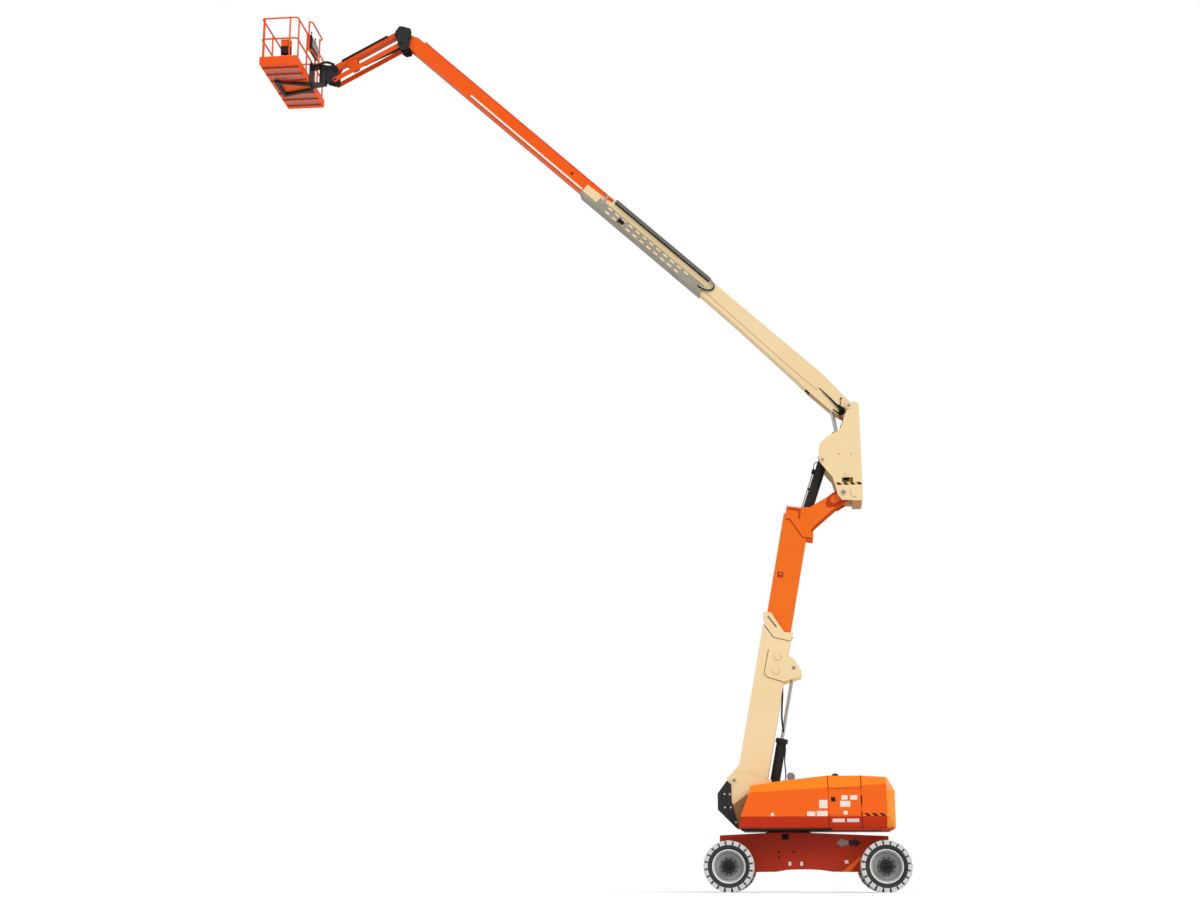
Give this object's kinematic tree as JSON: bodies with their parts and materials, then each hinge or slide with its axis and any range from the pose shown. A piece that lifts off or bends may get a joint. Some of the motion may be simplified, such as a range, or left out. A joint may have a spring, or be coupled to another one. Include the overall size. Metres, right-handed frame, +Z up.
{
  "type": "articulating boom lift",
  "caption": "Wheeled articulating boom lift with a telescoping tower, upright, telescoping main boom, parallel jib and a swivelling work platform.",
  "frame": {"origin": "on the ground under the centre of the swing", "axes": "+X from the drive axle to the steered axle, +Y to the machine's left, +Z up; the boom reaches towards -X"},
  "size_m": [13.748, 2.44, 19.43],
  "materials": {
    "orange_paint": "gloss",
    "cream_paint": "satin",
    "red_paint": "satin",
    "black_paint": "satin",
    "grey_paint": "satin",
    "rod_chrome": "polished",
    "casting": "painted",
    "tyre": "matte",
    "engine_alloy": "cast",
    "tank_plastic": "matte",
    "panel_plastic": "matte"
  },
  "bodies": {
    "chassis": {"chassis_frame": "red_paint", "rear_axle": "black_paint", "front_axle": "black_paint", "slew_ring": "black_paint"},
    "knuckle_left": {"knuckle_left": "black_paint"},
    "knuckle_right": {"knuckle_right": "black_paint"},
    "turntable": {"turntable_deck": "black_paint", "tower_support": "cream_paint", "front_guard": "black_paint", "hood_left": "orange_paint", "hood_right": "orange_paint", "counterweight": "casting", "engine_block": "engine_alloy", "battery_pack": "tank_plastic"},
    "door_left": {"door_left": "orange_paint"},
    "door_right": {"door_right": "orange_paint"},
    "tower_base": {"tower_base": "cream_paint"},
    "tower_fly": {"tower_fly": "orange_paint"},
    "tower_barrel": {"tower_cylinder_barrel": "black_paint"},
    "tower_rod": {"tower_cylinder_rod": "rod_chrome"},
    "upright": {"upright": "cream_paint"},
    "level_barrel": {"level_cylinder_barrel": "black_paint"},
    "level_rod": {"level_cylinder_rod": "rod_chrome"},
    "lift_barrel": {"lift_cylinder_barrel": "black_paint"},
    "lift_rod": {"lift_cylinder_rod": "rod_chrome"},
    "main_base": {"main_boom_base": "cream_paint", "cable_tray": "grey_paint", "link_track": "black_paint"},
    "main_fly": {"main_boom_fly": "orange_paint", "push_bar": "orange_paint"},
    "jib_head": {"jib_head": "black_paint"},
    "jib_arm": {"jib_arm": "orange_paint"},
    "jib_links": {"jib_links": "orange_paint"},
    "jib_barrel": {"jib_cylinder_barrel": "black_paint"},
    "jib_rod": {"jib_cylinder_rod": "rod_chrome"},
    "jib_end": {"jib_end": "black_paint"},
    "platform": {"platform_support": "black_paint", "platform_floor": "orange_paint", "rail_rear": "orange_paint", "rail_front": "orange_paint", "rail_left": "orange_paint", "rail_right": "orange_paint", "console": "panel_plastic", "console_guard": "orange_paint", "storage_box": "panel_plastic"},
    "wheel_rear_left": {"tyre_rear_left": "tyre", "rim_rear_left": "grey_paint"},
    "wheel_rear_right": {"tyre_rear_right": "tyre", "rim_rear_right": "grey_paint"},
    "wheel_front_left": {"tyre_front_left": "tyre", "rim_front_left": "grey_paint"},
    "wheel_front_right": {"tyre_front_right": "tyre", "rim_front_right": "grey_paint"}
  },
  "joints": [
    {"name": "swing", "type": "hinge", "parent": "chassis", "child": "turntable", "pos_m": [0, 0, 1.176], "axis": [0, 0, 1], "range_deg": [-180, 180]},
    {"name": "tower_lift", "type": "hinge", "parent": "turntable", "child": "tower_base", "pos_m": [-1.058, 0, 2.195], "axis": [0, -1, 0], "range_deg": [-76, 0]},
    {"name": "tower_tele", "type": "slide", "parent": "tower_base", "child": "tower_fly", "axis": [0.1857, 0, 0.9826], "range_m": [-2.1, 0]},
    {"name": "upright_level", "type": "hinge", "parent": "tower_fly", "child": "upright", "pos_m": [1.316, 0, 8.088], "axis": [0, -1, 0], "range_deg": [0, 76]},
    {"name": "main_lift", "type": "hinge", "parent": "upright", "child": "main_base", "pos_m": [1.484, 0, 9.951], "axis": [0, 1, 0], "range_deg": [-45, 32]},
    {"name": "main_tele", "type": "slide", "parent": "main_base", "child": "main_fly", "axis": [-0.7314, 0, 0.682], "range_m": [-5, 0]},
    {"name": "head_level", "type": "hinge", "parent": "main_fly", "child": "jib_head", "pos_m": [-8.19026, 0, 18.99017], "axis": [0, 1, 0], "range_deg": [-32, 45]},
    {"name": "jib_lift", "type": "hinge", "parent": "jib_head", "child": "jib_arm", "pos_m": [-8.39, 0, 19.12], "axis": [0, 1, 0], "range_deg": [-27, 103]},
    {"name": "links_turn", "type": "hinge", "parent": "jib_head", "child": "jib_links", "pos_m": [-8.38, 0, 18.855], "axis": [0, 1, 0], "range_deg": [-27, 103]},
    {"name": "jib_end_level", "type": "hinge", "parent": "jib_arm", "child": "jib_end", "pos_m": [-9.90867, 0, 18.31251], "axis": [0, 1, 0], "range_deg": [-103, 27]},
    {"name": "platform_rotate", "type": "hinge", "parent": "jib_end", "child": "platform", "pos_m": [-10.215, 0, 18.23], "axis": [0, 0, 1], "range_deg": [-90, 90]},
    {"name": "tower_barrel_swing", "type": "hinge", "parent": "turntable", "child": "tower_barrel", "pos_m": [-0.39, 0, 1.42], "axis": [0, -1, 0], "range_deg": [-80, 0]},
    {"name": "tower_rod_slide", "type": "slide", "parent": "tower_barrel", "child": "tower_rod", "axis": [0.1888, 0, 0.982], "range_m": [-1.3, 0]},
    {"name": "level_barrel_swing", "type": "hinge", "parent": "upright", "child": "level_barrel", "pos_m": [0.903, 0, 8.795], "axis": [0, -1, 0], "range_deg": [-78, 0]},
    {"name": "level_rod_slide", "type": "slide", "parent": "level_barrel", "child": "level_rod", "axis": [-0.3195, 0, -0.9476], "range_m": [-1.05, 0]},
    {"name": "lift_barrel_swing", "type": "hinge", "parent": "upright", "child": "lift_barrel", "pos_m": [1.39, 0, 8.48], "axis": [0, 1, 0], "range_deg": [-0.7, 0.6]},
    {"name": "lift_rod_slide", "type": "slide", "parent": "lift_barrel", "child": "lift_rod", "axis": [-0.1725, 0, 0.985], "range_m": [-0.27, 0.19]},
    {"name": "jib_barrel_swing", "type": "hinge", "parent": "jib_head", "child": "jib_barrel", "pos_m": [-8.38, 0, 18.855], "axis": [0, 1, 0], "range_deg": [-27, 101]},
    {"name": "jib_rod_slide", "type": "slide", "parent": "jib_barrel", "child": "jib_rod", "axis": [-0.9155, 0, -0.4022], "range_m": [-0.105, 0.385]},
    {"name": "steer_left", "type": "hinge", "parent": "chassis", "child": "knuckle_left", "pos_m": [1.885, 0.74, 0.495], "axis": [0, 0, 1], "range_deg": [-35, 35]},
    {"name": "steer_right", "type": "hinge", "parent": "chassis", "child": "knuckle_right", "pos_m": [1.885, -0.74, 0.495], "axis": [0, 0, 1], "range_deg": [-35, 35]},
    {"name": "door_left_open", "type": "hinge", "parent": "turntable", "child": "door_left", "pos_m": [1.446, 1.176, 1.725], "axis": [0, 0, -1], "range_deg": [0, 100]},
    {"name": "door_right_open", "type": "hinge", "parent": "turntable", "child": "door_right", "pos_m": [1.446, -1.176, 1.725], "axis": [0, 0, 1], "range_deg": [0, 100]},
    {"name": "spin_rear_left", "type": "hinge", "parent": "chassis", "child": "wheel_rear_left", "pos_m": [-1.165, 1.03, 0.495], "axis": [0, 1, 0], "continuous": true},
    {"name": "spin_rear_right", "type": "hinge", "parent": "chassis", "child": "wheel_rear_right", "pos_m": [-1.165, -1.03, 0.495], "axis": [0, 1, 0], "continuous": true},
    {"name": "spin_front_left", "type": "hinge", "parent": "knuckle_left", "child": "wheel_front_left", "pos_m": [1.885, 1.03, 0.495], "axis": [0, 1, 0], "continuous": true},
    {"name": "spin_front_right", "type": "hinge", "parent": "knuckle_right", "child": "wheel_front_right", "pos_m": [1.885, -1.03, 0.495], "axis": [0, 1, 0], "continuous": true}
  ],
  "couplings": [
    {"joint": "upright_level", "follows": "tower_lift", "ratio": -1},
    {"joint": "tower_barrel_swing", "follows": "tower_lift", "ratio": 1.0059},
    {"joint": "tower_rod_slide", "follows": "tower_lift", "m_per_rad": 0.9459},
    {"joint": "level_barrel_swing", "follows": "tower_lift", "ratio": 0.9794},
    {"joint": "level_rod_slide", "follows": "tower_lift", "m_per_rad": 0.7561},
    {"joint": "head_level", "follows": "main_lift", "ratio": -1},
    {"joint": "lift_barrel_swing", "follows": "main_lift", "ratio": 0.013},
    {"joint": "lift_rod_slide", "follows": "main_lift", "m_per_rad": 0.327},
    {"joint": "links_turn", "follows": "jib_lift", "ratio": 1},
    {"joint": "jib_end_level", "follows": "jib_lift", "ratio": -1},
    {"joint": "jib_barrel_swing", "follows": "jib_lift", "ratio": 0.955},
    {"joint": "jib_rod_slide", "follows": "jib_lift", "m_per_rad": 0.208},
    {"joint": "steer_right", "follows": "steer_left", "ratio": 1}
  ]
}
